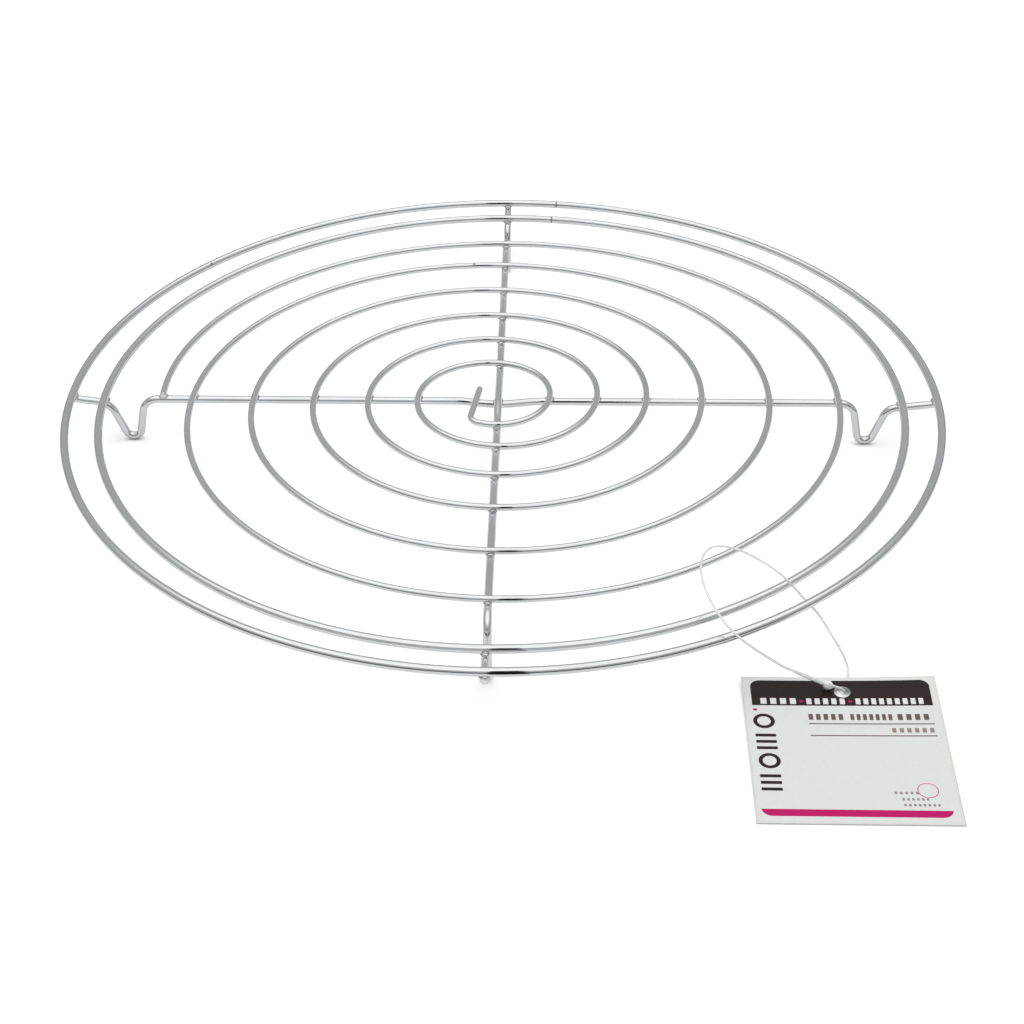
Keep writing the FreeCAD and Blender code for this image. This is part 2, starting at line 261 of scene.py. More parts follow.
def rim(name, node):
    """An almost full circle, centred in its node's box."""
    centre = box_centre(node)
    radius = (box_size(node)[0] - rim_wire) / 2
    half_gap = butt_weld_width / radius / 2
    angle = np.linspace(butt_weld_angle + half_gap, butt_weld_angle - half_gap + tau, 3000)
    path = centre + radius * np.stack([np.cos(angle), np.sin(angle), 0 * angle], axis=1)
    piece = round_wire(name, path, UP, rim_wire / 2, 0.12 * mm)
    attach(piece, "rack")
    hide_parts(node)
    return piece, centre, radius


outer_ring, outer_centre, outer_radius = rim("outer_ring", "outer_rim")
inner_ring, inner_centre, inner_radius = rim("inner_ring", "inner_rim")

# %% [markdown]
# ## The spiral
# The spiral's radius shrinks turn by turn, and the hand that wound it was not perfectly steady.
# Its distance from the middle is known at every quarter turn, where it lies on a cross wire.
# A cubic between those distances, in terms of the angle, gives a wire with no kinks.

# %% Spiral
spiral_wire = 2.4 * mm
grid_centre = mm * np.array([-1.5, 1.0, 0.0])
spiral_insets = mm * np.array([     # from the inner rim, at the left, back, right and front
    (22.8, 26.1, 22.2, 23.6),
    (34.2, 45.1, 47.4, 49.6),
    (56.8, 66.1, 71.9, 74.6),
    (78.9, 86.5, 92.1, 94.5),
    (98.9, 105.3, 110.2, 112.5),
    (117.1, 123.0, 127.5, 126.7),
]).ravel()
spiral_start_swell = 9.0 * mm
spiral_start_overhang = 1.6 * mm
spiral_end_run = 7.0 * mm
spiral_end_bend = 4.3 * mm
spiral_end_heading = radians(82)
spiral_tail = 19.0 * mm

coil_radii = inner_radius - spiral_insets
spiral_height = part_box("spiral_grid")[1][2] - spiral_wire / 2


def quarter_turn_cubic(values, slopes, places):
    """Cubic Hermite curve: values and slopes are given at whole numbers, places lie between."""
    index = np.clip(places.astype(int), 0, len(values) - 2)
    t = places - index
    return ((2 * t ** 3 - 3 * t ** 2 + 1) * values[index]
            + (t ** 3 - 2 * t ** 2 + t) * slopes[index]
            + (3 * t ** 2 - 2 * t ** 3) * values[index + 1]
            + (t ** 3 - t ** 2) * slopes[index + 1])


def arc_points(centre, radius, first_angle, last_angle, count=60):
    """Points on a level arc."""
    angle = np.linspace(first_angle, last_angle, count)
    return centre + radius * np.stack([np.cos(angle), np.sin(angle)], axis=1)


def unit(angle):
    """The direction at an angle."""
    return np.array([cos(angle), sin(angle)])


coil_slopes = np.r_[spiral_start_swell, (coil_radii[2:] - coil_radii[:-2]) / 2, 0.0]
quarters = np.linspace(0, len(coil_radii) - 1, 9000)
coil_radius = quarter_turn_cubic(coil_radii, coil_slopes, quarters)
coil_angle = pi - quarters * pi / 2
coil = coil_radius[:, None] * np.stack([np.cos(coil_angle), np.sin(coil_angle)], axis=1)
start_heading = (coil[1] - coil[0]) / np.linalg.norm(coil[1] - coil[0])
start = coil[:1] - start_heading * spiral_start_overhang
run_angle = -pi / 2 - spiral_end_run / coil_radii[-1]
run = arc_points(np.zeros(2), coil_radii[-1], -pi / 2, run_angle)
bend_centre = run[-1] * (1 - spiral_end_bend / coil_radii[-1])
bend_finish = spiral_end_heading + pi / 2 - tau
bend = arc_points(bend_centre, spiral_end_bend, run_angle, bend_finish)
tail = bend[-1:] + spiral_tail * unit(spiral_end_heading)
spiral_flat = np.r_[start, coil, run[1:], bend[1:], tail]
spiral_path = np.c_[spiral_flat, np.zeros(len(spiral_flat))] + grid_centre \
    + np.array([0, 0, spiral_height])
spiral = round_wire("spiral", spiral_path, UP, spiral_wire / 2, 0.5 * mm)
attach(spiral, "rack")
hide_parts("spiral_grid")

# %% [markdown]
# ## The cross wires and their feet
# One wire runs from side to side and one from front to back. Each dips to the worktop and back
# just inside the rims. Drawn with straight lines the path has sharp corners, so an arc of the
# bend's own radius is laid into each corner, as a bending tool would leave it.

# %% Cross wires
ARMS = {"left": np.array([-1.0, 0.0]), "back": np.array([0.0, 1.0]),
        "right": np.array([1.0, 0.0]), "front": np.array([0.0, -1.0])}
foot_inset = {"left": 10.0 * mm, "back": 11.0 * mm, "right": 11.0 * mm, "front": 9.0 * mm}
outer_bend = {"left": 7.5 * mm, "back": 6.0 * mm, "right": 5.5 * mm, "front": 6.0 * mm}
outer_lead = {"left": 3.0 * mm, "back": 0.0, "right": -1.5 * mm, "front": 0.0}
inner_bend = 6.2 * mm
foot_bend = 3.0 * mm
foot_half_width = 10.6 * mm
leg_wire = 2.8 * mm
set_down = 0.25 * mm
leg_end_overhang = 1.2 * mm
bow_reach = 16.5 * mm
bow_rise = (leg_wire - set_down) / 2
leg_height = outer_centre[2] - (rim_wire + leg_wire) / 2 + set_down
inner_rim_drop = outer_centre[2] - inner_centre[2]


# %% [markdown]
# ## The line of a bent leg
# From the middle of the rack outwards an arm is a straight run, a shoulder bend down, a run, the
# foot's bend, a run up, a second shoulder and a last straight run to the outer rim. Each slanted
# run touches the two circles that it joins, so it is their inner common tangent.

# %% Bends and runs
def tangent_run(first_centre, first_bend, last_centre, last_bend, first_side):
    """Where a straight run leaves one bend and meets the next, which turns the other way.
    The run's normal leans from the line between the centres by acos((r1 + r2) / distance)."""
    between = last_centre - first_centre
    distance = hypot(*between)
    lean = first_side * np.arccos((first_bend + last_bend) / distance)
    ux, uz = between / distance
    normal = np.array([ux * cos(lean) - uz * sin(lean), ux * sin(lean) + uz * cos(lean)])
    return first_centre + normal * first_bend, last_centre - normal * last_bend


def bend_between(centre, start, finish):
    """Arc about a centre from one point to another, the short way round."""
    first = np.arctan2(*(start - centre)[::-1])
    last = np.arctan2(*(finish - centre)[::-1])
    last = first + (last - first + pi) % tau - pi
    return arc_points(centre, hypot(*(start - centre)), first, last)


def crossing(arm_name, centre, radius):
    """How far from the grid's centre a rim crosses an arm."""
    direction = ARMS[arm_name]
    shift = (centre - grid_centre)[:2]
    along = shift @ direction
    aside = shift @ np.array([-direction[1], direction[0]])
    return along + sqrt(radius ** 2 - aside ** 2)


def arm(name):
    """Half a cross wire as (distance out, height), from past the bow to the wire's end."""
    foot_radius = inner_radius - foot_inset[name]
    inner = np.array([foot_radius - foot_half_width, leg_height - inner_bend])
    foot = np.array([foot_radius, leg_wire / 2 + foot_bend])
    inner_seat = np.array([crossing(name, inner_centre, inner_radius),
                           leg_height - inner_rim_drop])
    outer_seat = np.array([crossing(name, outer_centre, outer_radius), leg_height])
    outward = (outer_seat - inner_seat) / hypot(*(outer_seat - inner_seat))
    run_start = inner_seat + outward * outer_lead[name]
    outer = run_start + outer_bend[name] * np.array([outward[1], -outward[0]])
    inner_top, inner_low = tangent_run(inner, inner_bend, foot, foot_bend, 1)
    outer_top, outer_low = tangent_run(outer, outer_bend[name], foot, foot_bend, -1)
    return np.r_[
        bend_between(inner, inner + [0, inner_bend], inner_top),
        bend_between(foot, inner_low, outer_low),
        bend_between(outer, outer_top, run_start),
        [outer_seat + outward * leg_end_overhang],
    ]


# %% [markdown]
# ## Sweeping the cross wires
# The two halves are joined through the middle. The wires pass one over the other there, so one
# bows up and the other down by half their thickness.

# %% Two cross wires
def cross_wire(name, node, far_arm, near_arm, bow):
    """A whole cross wire. Its middle bows by bow * (1 + cos(pi x / reach)) / 2."""
    direction = ARMS[near_arm]
    middle = np.linspace(-bow_reach, bow_reach, 81)
    lift = leg_height + bow * (1 + np.cos(pi * middle / bow_reach)) / 2
    profile = np.r_[arm(far_arm)[::-1] * [-1, 1], np.c_[middle, lift], arm(near_arm)]
    path = np.c_[profile[:, :1] * direction, profile[:, 1]] + grid_centre
    normal = (direction[1], -direction[0], 0.0)
    piece = round_wire(name, path, normal, leg_wire / 2, 0.5 * mm, spacing=0.6 * mm)
    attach(piece, "rack")
    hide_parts(node)
    return piece


side_wire = cross_wire("side_to_side_wire", "side_to_side_leg_wire", "left", "right", -bow_rise)
front_wire = cross_wire("front_to_back_wire", "front_to_back_leg_wire", "front", "back", bow_rise)

# %% [markdown]
# ## Welds
# Each crossing was squeezed together and welded, which leaves a thin bead of metal round it.
# A ball would stand too proud, so a bead is a flattened ball whose outline swells and shrinks
# a little, differently at each weld.

# %% Weld beads
seat_height = leg_height + (leg_wire - set_down) / 2
bead_spread = 0.5 * mm
bead_fullness = 0.5
bead_sides, bead_rings = 28, 13


def beads(name, node, places, radius, seed):
    """Flattened balls: radius R (1 + 0.07 cos(2a + p) + 0.04 cos(5a + q)) cos t, height H sin t."""
    noise = np.random.default_rng(seed)
    around = np.arange(bead_sides) * tau / bead_sides
    tilt = np.linspace(-pi / 2, pi / 2, bead_rings + 2)[1:-1]
    count = len(places)
    phase = noise.uniform(0, tau, (count, 2, 1))
    swell = 1 + 0.07 * np.cos(2 * around + phase[:, 0]) + 0.04 * np.cos(5 * around + phase[:, 1])
    reach = radius * swell[:, None] * np.cos(tilt)[None, :, None]
    height = radius * bead_fullness * np.sin(tilt)[None, :, None] + 0 * reach
    skin_points = np.stack([reach * np.cos(around), reach * np.sin(around), height], -1)
    poles = radius * bead_fullness * np.array([[0, 0, -1.0], [0, 0, 1.0]])
    bead = np.concatenate([skin_points.reshape(count, -1, 3),
                           np.broadcast_to(poles, (count, 2, 3))], axis=1)
    points = (bead + np.asarray(places)[:, None]).reshape(-1, 3)
    corners = ring_faces(bead_rings, bead_sides)
    quads = (corners[..., 0] * bead_sides + corners[..., 1] % bead_sides)
    side = np.arange(bead_sides)
    south, north = bead_rings * bead_sides, bead_rings * bead_sides + 1
    low_fan = np.stack([np.full(bead_sides, south), (side + 1) % bead_sides, side], 1)
    top = (bead_rings - 1) * bead_sides
    high_fan = np.stack([np.full(bead_sides, north), top + side,
                         top + (side + 1) % bead_sides], 1)
    offsets = np.arange(count) * (north + 1)
    all_quads = (quads[None] + offsets[:, None, None]).reshape(-1, 4)
    fans = np.r_[low_fan, high_fan]
    all_fans = (fans[None] + offsets[:, None, None]).reshape(-1, 3)
    faces = all_quads.tolist() + all_fans.tolist()
    flat = np.concatenate([all_quads.ravel(), all_fans.ravel()])
    piece = new_mesh(name, points, faces, points[flat][:, :2])
    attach(piece, "rack")
    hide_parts(node)
    print(name, count, "beads")
    return piece


# %% [markdown]
# ## Where the welds are
# There is a weld wherever a rim or a turn of the spiral crosses an arm. The middle of a bead is
# at the height where the two wires meet.

# %% Placing the beads
def on_arms(distances, drop=0.0):
    """Places at a distance along each arm, at the height where the wires meet."""
    flat = grid_centre[:2] + np.array(list(ARMS.values())) * np.asarray(distances)[:, None]
    return np.c_[flat, np.full(len(flat), seat_height - drop)]


rim_bead = leg_wire / 2 + bead_spread
spiral_bead = spiral_wire / 2 + bead_spread
outer_places = on_arms([crossing(name, outer_centre, outer_radius) for name in ARMS])
inner_places = on_arms([crossing(name, inner_centre, inner_radius) for name in ARMS],
                       inner_rim_drop)
spiral_places = np.concatenate([on_arms(turn) for turn in coil_radii.reshape(-1, 4)])
centre_place = [tuple(grid_centre[:2]) + (leg_height,)]
outer_beads = beads("outer_ring_weld_beads", "outer_rim_welds", outer_places, rim_bead, 11)
inner_beads = beads("inner_ring_weld_beads", "inner_rim_welds", inner_places, rim_bead, 12)
spiral_beads = beads("spiral_weld_beads", "spiral_welds", spiral_places, spiral_bead, 13)
centre_bead = beads("centre_weld_bead", "centre_weld", centre_place, rim_bead, 14)

# %% [markdown]
# ## The loop's socket and locking tip
# The strand's two ends snap together: a hollow ball with a neck takes a tapered tip. Both are
# turned shapes, so a profile of distance and radius is carried round the line that joins them.

# %% Socket and tip
socket_place = mm * np.array([104.9, -143.5, 3.7])
socket_radius = 1.6 * mm


def turned(name, start, finish, along, radii, sides=32):
    """A profile carried round the line from start to finish: its points are given as distances
    from start and radii."""
    axis = (finish - start) / np.linalg.norm(finish - start)
    side = np.cross(axis, [0.0, 0.0, 1.0])
    side /= np.linalg.norm(side)
    centres = start + along[:, None] * axis
    side_axis = np.broadcast_to(side, centres.shape)
    up_axis = np.broadcast_to(np.cross(axis, side), centres.shape)
    return skin(name, centres, up_axis, side_axis, radii, along, sides)


def smooth_profile(stops, count=60):
    """Distances and radii along a turned part, eased between the given stops."""
    stops = mm * np.array(stops)
    along = np.linspace(stops[0, 0], stops[-1, 0], count)
    index = np.clip(np.searchsorted(stops[:, 0], along, side="right") - 1, 0, len(stops) - 2)
    share = (along - stops[index, 0]) / (stops[index + 1, 0] - stops[index, 0])
    eased = share * share * (3 - 2 * share)
    return along, stops[index, 1] * (1 - eased) + stops[index + 1, 1] * eased


neck_end = strand_route[0]
neck_length = float(np.linalg.norm(neck_end - socket_place))
ball = socket_radius
sweep = np.linspace(0.02, pi * 0.83, 40)
ball_along = -ball * np.cos(sweep)
ball_radii = ball * np.sin(sweep)
neck_share = np.linspace(0, 1, 14)[1:]
neck_along = ball_along[-1] + neck_share * (neck_length - ball_along[-1])
neck_radii = strand_diameter / 2 + (ball_radii[-1] - strand_diameter / 2) * (1 - neck_share) ** 2
socket = turned("loop_socket", socket_place, neck_end,
                np.r_[ball_along, neck_along], np.r_[ball_radii, neck_radii])

strand_finish = strand_route[-1]
tip_axis = (socket_place - strand_finish) / np.linalg.norm(socket_place - strand_finish)
tip_root = socket_place - tip_axis * (socket_radius - 1.0 * mm)
tip_length = float(np.linalg.norm(strand_finish - tip_root)) / mm
tip_along, tip_radii = smooth_profile([
    (0.0, 0.55), (0.9, 0.72), (1.6, 0.80), (1.9, 0.72), (tip_length * 0.45, 0.62),
    (tip_length, 0.4)])
tip = turned("loop_tip", tip_root, strand_finish, tip_along, tip_radii)

loop_pieces = ((strand, "tag_loop"), (socket, "tag_loop_socket"), (tip, "tag_loop_tip"))
for piece, node in loop_pieces:
    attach(piece, "loop")
    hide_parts(node)

# %% [markdown]
# ## The card
# The card was cut from stiff board and punched near its top edge, where it lies on the loop. It
# isn't quite flat: its top right corner curls up. A grid that runs out from the punched hole
# to the outline, then back underneath, gives one closed skin with a true round hole in it.

# %% Card
card_width = 60.5 * mm
card_length = 64.5 * mm
card_thickness = 0.4 * mm
card_edge_round = 0.04 * mm
card_middle = 108.8 * mm
card_top = -137.5 * mm
hole_place = mm * np.array([109.5, -144.5])
hole_radius = 2.5 * mm
card_lift = 1.40 * mm           # of the top edge
corner_curl = 1.2 * mm
card_left, card_foot = card_middle - card_width / 2, card_top - card_length
side_steps, out_steps = 64, 26


def card_skin(name):
    """A point is hole edge + r * (outline - hole edge), with r from 0 to 1 on top and back to 0
    underneath. Its height is lift * t + curl * t^2 * c^3, where t runs from the foot up to the
    top edge and c from the left edge to the right. The UV is the place on the card, in metres,
    moved aside by half a metre on the back and the walls, where nothing is printed."""
    step = np.arange(side_steps) / side_steps
    corners = np.array([(card_left + card_width, card_top), (card_left, card_top),
                        (card_left, card_foot), (card_left + card_width, card_foot)])
    outline = np.concatenate([corners[k] + step[:, None] * (corners[(k + 1) % 4] - corners[k])
                              for k in range(4)])
    ray = outline - hole_place
    ray /= np.linalg.norm(ray, axis=1, keepdims=True)
    hole_edge = hole_place + hole_radius * ray
    reach = np.linalg.norm(outline - hole_edge, axis=1)[:, None]
    inside = np.linspace(0, 1, out_steps)[None, :]
    out = card_edge_round + inside * (reach - 2 * card_edge_round)
    none, full = 0 * reach, reach
    travel = np.concatenate([out, full, full, out[:, ::-1], none, none], axis=1)
    rest, ease = np.ones(out_steps), card_edge_round / card_thickness
    level = np.r_[rest, 1 - ease, ease, 0 * rest, ease, 1 - ease] * card_thickness
    flat = hole_edge[:, None] + travel[..., None] * ray[:, None]
    up = (flat[..., 1] - card_foot) / card_length
    across = (flat[..., 0] - card_left) / card_width
    height = level + card_lift * up + corner_curl * up ** 2 * across ** 3
    points = np.concatenate([flat, height[..., None]], axis=-1)
    spokes, loop = points.shape[:2]
    spoke, place = np.meshgrid(np.arange(spokes), np.arange(loop), indexing="ij")
    spoke, place = spoke.ravel(), place.ravel()
    corner = np.stack([(spoke, place), (spoke, (place + 1) % loop),
                       ((spoke + 1) % spokes, (place + 1) % loop),
                       ((spoke + 1) % spokes, place)], axis=0)
    index = (corner[:, 0] * loop + corner[:, 1]).T
    uv = (flat - [card_left, card_foot]).reshape(-1, 2)[index]
    printed_side = place < out_steps - 1
    uv[~printed_side] += 0.5
    return new_mesh(name, points.reshape(-1, 3), index.tolist(), uv, "card_uv")


card = card_skin("swing_card")
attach(card, "tag")
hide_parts("swing_tag")
print("card faces", len(card.data.polygons))

# %% [markdown]
# ## The strand's ends
# The strand leaves the socket's neck and ends in the tip that locks into the same socket.

# %% [markdown]
# ## Building finishes from nodes
# Every finish is a small graph of nodes. Writing each node by hand takes many lines, so two
# helpers add a node and join its sockets. Effects that several finishes share are node groups,
# which put out masks and normals and leave the shader to the material.

# %% Node helpers
def add(tree, kind, inputs=None, **settings):
    """A node with its settings, and inputs that are values or the sockets that feed them."""
    node = tree.nodes.new(kind)
    for key, value in settings.items():
        setattr(node, key, value)
    for key, value in (inputs or {}).items():
        if isinstance(value, bpy.types.NodeSocket):
            tree.links.new(value, node.inputs[key])
        else:
            node.inputs[key].default_value = value
    return node


def maths(tree, operation, *values, clamp=False):
    """One arithmetic step."""
    return add(tree, "ShaderNodeMath", dict(enumerate(values)), operation=operation,
               use_clamp=clamp).outputs[0]


def blend(tree, share, first, second):
    """A colour between two."""
    node = add(tree, "ShaderNodeMix", {0: share, 6: first, 7: second}, data_type="RGBA")
    return node.outputs[2]


def between(tree, value, low, high, to_low, to_high):
    """A value moved from one range to another, and kept inside it."""
    return add(tree, "ShaderNodeMapRange", {0: value, 1: low, 2: high, 3: to_low, 4: to_high}
               ).outputs[0]


def new_group(name, inputs, outputs):
    """An empty node group with named sockets. Returns the tree, its input and output nodes."""
    tree = bpy.data.node_groups.new(name, "ShaderNodeTree")
    for label, kind, default in inputs:
        socket = tree.interface.new_socket(label, in_out="INPUT", socket_type=kind)
        if default is not None:
            socket.default_value = default
    for label, kind in outputs:
        tree.interface.new_socket(label, in_out="OUTPUT", socket_type=kind)
    return tree, tree.nodes.new("NodeGroupInput").outputs, tree.nodes.new("NodeGroupOutput")


def use(tree, group, **inputs):
    """Places a group. Underscores in the input names stand for spaces."""
    named = {key.replace("_", " "): value for key, value in inputs.items()}
    node = tree.nodes.new("ShaderNodeGroup")
    node.node_tree = group
    for key, value in named.items():
        if isinstance(value, bpy.types.NodeSocket):
            tree.links.new(value, node.inputs[key])
        else:
            node.inputs[key].default_value = value
    return node.outputs


def new_finish(name, **uniform):
    """A material with one Principled shader, with values that are the same all over."""
    finish = bpy.data.materials.new(name)
    finish.use_nodes = True
    shader = finish.node_tree.nodes["Principled BSDF"]
    for key, value in uniform.items():
        shader.inputs[key.replace("_", " ")].default_value = value
    return finish, finish.node_tree, shader


# %% [markdown]
# ## Shared surface effects
# Drawn wire keeps faint lines from its die along its length. Bright plating has a few pits, and
# handled metal has a soft haze. The three are separate groups, so each finish can mix its own.

# %% Effect groups
FLOAT, VECTOR = "NodeSocketFloat", "NodeSocketVector"

die_lines, given, result = new_group(
    "die lines", [("Vector", VECTOR, None), ("Fineness", FLOAT, 5000.0),
                  ("Run", FLOAT, 40.0)], [("Height", FLOAT)])
stretched = add(die_lines, "ShaderNodeCombineXYZ", {0: given["Run"], 1: given["Fineness"],
                                                    2: given["Fineness"]})
lines_at = add(die_lines, "ShaderNodeVectorMath", {0: given["Vector"], 1: stretched.outputs[0]},
               operation="MULTIPLY")
lines = add(die_lines, "ShaderNodeTexNoise", {"Vector": lines_at.outputs[0], "Scale": 1.0,
                                              "Detail": 3.0, "Roughness": 0.6})
die_lines.links.new(lines.outputs["Fac"], result.inputs["Height"])

plating_pits, given, result = new_group(
    "plating pits", [("Vector", VECTOR, None), ("Density", FLOAT, 160.0),
                     ("Share", FLOAT, 0.06)], [("Mask", FLOAT)])
cells = add(plating_pits, "ShaderNodeTexVoronoi", {"Vector": given["Vector"],
                                                   "Scale": given["Density"]})
chosen = maths(plating_pits, "LESS_THAN",
               add(plating_pits, "ShaderNodeSeparateColor",
                   {0: cells.outputs["Color"]}).outputs[0], given["Share"])
spot = between(plating_pits, cells.outputs["Distance"], 0.04, 0.10, 1.0, 0.0)
plating_pits.links.new(maths(plating_pits, "MULTIPLY", chosen, spot), result.inputs["Mask"])

handling_haze, given, result = new_group(
    "handling haze", [("Vector", VECTOR, None), ("Scale", FLOAT, 30.0)], [("Mask", FLOAT)])
haze = add(handling_haze, "ShaderNodeTexNoise", {"Vector": given["Vector"],
                                                 "Scale": given["Scale"], "Detail": 5.0,
                                                 "Roughness": 0.55, "Distortion": 0.4})
handling_haze.links.new(between(handling_haze, haze.outputs["Fac"], 0.42, 0.72, 0.0, 1.0),
                        result.inputs["Mask"])
print("effect groups", [group.name for group in bpy.data.node_groups])

# %% [markdown]
# ## Bright chrome
# Chrome takes nearly all its look from what it reflects, so the colour stays a near-white with
# a trace of blue. The detail is in the roughness and in very shallow bumps.

# %% Chrome wire
chrome, tree, shader = new_finish("bright_chrome", Metallic=1.0)
wire_uv = add(tree, "ShaderNodeUVMap", uv_map="wire_uv").outputs[0]
place = add(tree, "ShaderNodeTexCoord").outputs["Object"]
lines = use(tree, die_lines, Vector=wire_uv)["Height"]
pits = use(tree, plating_pits, Vector=place, Density=140.0, Share=0.05)["Mask"]
haze = use(tree, handling_haze, Vector=place, Scale=35.0)["Mask"]
tone = blend(tree, haze, (0.80, 0.81, 0.82, 1), (0.74, 0.745, 0.75, 1))
tree.links.new(blend(tree, pits, tone, (0.20, 0.19, 0.18, 1)), shader.inputs["Base Color"])
rough = between(tree, haze, 0.0, 1.0, 0.045, 0.10)
rough = maths(tree, "ADD", rough, maths(tree, "MULTIPLY", lines, 0.03))
rough = maths(tree, "ADD", rough, maths(tree, "MULTIPLY", pits, 0.35), clamp=True)
tree.links.new(rough, shader.inputs["Roughness"])
height = maths(tree, "SUBTRACT", maths(tree, "MULTIPLY", lines, 0.35), pits)
bump = add(tree, "ShaderNodeBump", {"Strength": 0.12, "Distance": 0.00005, "Height": height})
tree.links.new(bump.outputs[0], shader.inputs["Normal"])
for piece in (outer_ring, inner_ring, spiral, side_wire, front_wire):
    piece.data.materials.append(chrome)
print(chrome.name, len(tree.nodes), "nodes")

# %% [markdown]
# ## Weld metal
# The beads were plated with the rest, but they froze from liquid metal, so their skin ripples
# and scatters the light more than the drawn wire does. Soot darkens them in patches.

# %% Weld metal
def weld_finish(name, bright, dull):
    """Plated weld, clouded between a bright and a dull grey."""
    finish, tree, shader = new_finish(name, Metallic=1.0)
    place = add(tree, "ShaderNodeTexCoord").outputs["Object"]
    haze = use(tree, handling_haze, Vector=place, Scale=420.0)["Mask"]
    pits = use(tree, plating_pits, Vector=place, Density=1500.0, Share=0.2)["Mask"]
    ripple = add(tree, "ShaderNodeTexNoise", {"Vector": place, "Scale": 1400.0, "Detail": 3.0})
    tone = blend(tree, haze, (bright, bright, bright, 1), (dull, dull, dull, 1))
    tree.links.new(blend(tree, pits, tone, (0.16, 0.15, 0.14, 1)), shader.inputs["Base Color"])
    rough = between(tree, haze, 0.0, 1.0, 0.16, 0.36)
    tree.links.new(rough, shader.inputs["Roughness"])
    height = maths(tree, "SUBTRACT", ripple.outputs["Fac"], pits)
    bump = add(tree, "ShaderNodeBump", {"Strength": 0.5, "Distance": 0.0001, "Height": height})
    tree.links.new(bump.outputs[0], shader.inputs["Normal"])
    return finish


bead_metal = weld_finish("plated_weld", 0.72, 0.41)
seam_metal = weld_finish("plated_seam", 0.42, 0.22)
for piece in (outer_beads, inner_beads, spiral_beads, centre_bead):
    piece.data.materials.append(bead_metal)
for node in ("outer_rim_butt_weld", "inner_rim_butt_weld"):
    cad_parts[node].material_slots[0].material = seam_metal
print(bead_metal.name, "and", seam_metal.name)

# %% [markdown]
# ## Printing the card
# The print is laid out in millimetres from the card's top left corner, on the card's own UV.
# It is built from three shapes. A block is a rectangle with rounded corners: the distance to it
# is the length of max(|p - centre| - half size + corner, 0), less the corner, and ink lies
# wherever that is below zero. A ring has ink where |distance - radius| is under half its stroke.
# Stripes cut a block into a row of short bars, which stand for lettering too small to read.

# %% Print shapes
def away_from(tree, given):
    """Vector from a shape's centre."""
    return add(tree, "ShaderNodeVectorMath", {0: given["Vector"], 1: given["Centre"]},
               operation="SUBTRACT").outputs[0]


def inked(tree, edge, result):
    """Ink where the signed distance to an edge is below zero, with a soft border."""
    soft = 0.03 * mm
    tree.links.new(between(tree, edge, -soft, soft, 1.0, 0.0), result.inputs["Mask"])


block, given, result = new_group(
    "printed block", [("Vector", VECTOR, None), ("Centre", VECTOR, None),
                      ("Half Size", VECTOR, None), ("Corner", FLOAT, 0.0001)],
    [("Mask", FLOAT)])
away = add(block, "ShaderNodeVectorMath", {0: away_from(block, given)}, operation="ABSOLUTE")
away = add(block, "ShaderNodeVectorMath", {0: away.outputs[0], 1: given["Half Size"]},
           operation="SUBTRACT")
corner = add(block, "ShaderNodeCombineXYZ", {0: given["Corner"], 1: given["Corner"]})
away = add(block, "ShaderNodeVectorMath", {0: away.outputs[0], 1: corner.outputs[0]},
           operation="ADD")
outside = add(block, "ShaderNodeVectorMath", {0: away.outputs[0], 1: (0.0, 0.0, 0.0)},
              operation="MAXIMUM")
distance = add(block, "ShaderNodeVectorMath", {0: outside.outputs[0]}, operation="LENGTH")
inked(block, maths(block, "SUBTRACT", distance.outputs["Value"], given["Corner"]), result)

ring, given, result = new_group(
    "printed ring", [("Vector", VECTOR, None), ("Centre", VECTOR, None),
                     ("Radius", FLOAT, 0.003), ("Stroke", FLOAT, 0.001)], [("Mask", FLOAT)])
distance = add(ring, "ShaderNodeVectorMath", {0: away_from(ring, given)}, operation="LENGTH")
from_line = maths(ring, "SUBTRACT", distance.outputs["Value"], given["Radius"])
from_line = maths(ring, "ABSOLUTE", from_line)
inked(ring, maths(ring, "SUBTRACT", from_line, maths(ring, "MULTIPLY", given["Stroke"], 0.5)),
      result)

stripes, given, result = new_group(
    "printed stripes", [("Vector", VECTOR, None), ("Start", FLOAT, 0.0),
                        ("Pitch", FLOAT, 0.002), ("Bar", FLOAT, 0.0015)], [("Mask", FLOAT)])
along = add(stripes, "ShaderNodeSeparateXYZ", {0: given["Vector"]}).outputs["X"]
along = maths(stripes, "SUBTRACT", along, given["Start"])
along = maths(stripes, "MODULO", along, given["Pitch"])
inked(stripes, maths(stripes, "SUBTRACT", along, given["Bar"]), result)

# %% [markdown]
# ## Printed board
# White board with a dark head, a coloured bar at its foot, two ruled lines and small marks. The
# back is plain. The varnish is thin, so the shader has only a trace of coat.

# %% Printed board
printed, tree, shader = new_finish("printed_board", Coat_Weight=0.05, Coat_Roughness=0.15,
                                   Specular_IOR_Level=0.2)
place = add(tree, "ShaderNodeTexCoord").outputs["Object"]
on_card = add(tree, "ShaderNodeUVMap", uv_map="card_uv").outputs[0]


def at(x, y):
    """A place on the card's UV, from millimetres right of its left edge and below its top."""
    return (x * mm, card_length - y * mm, 0)


def mark(left, top, right, foot, corner=0.1):
    """The mask of a block."""
    half = ((right - left) / 2 * mm, (foot - top) / 2 * mm, 0)
    return use(tree, block, Vector=on_card, Centre=at((left + right) / 2, (top + foot) / 2),
               Half_Size=half, Corner=corner * mm)["Mask"]


def hoop(x, y, radius, stroke):
    """The mask of a ring."""
    return use(tree, ring, Vector=on_card, Centre=at(x, y), Radius=radius * mm,
               Stroke=stroke * mm)["Mask"]


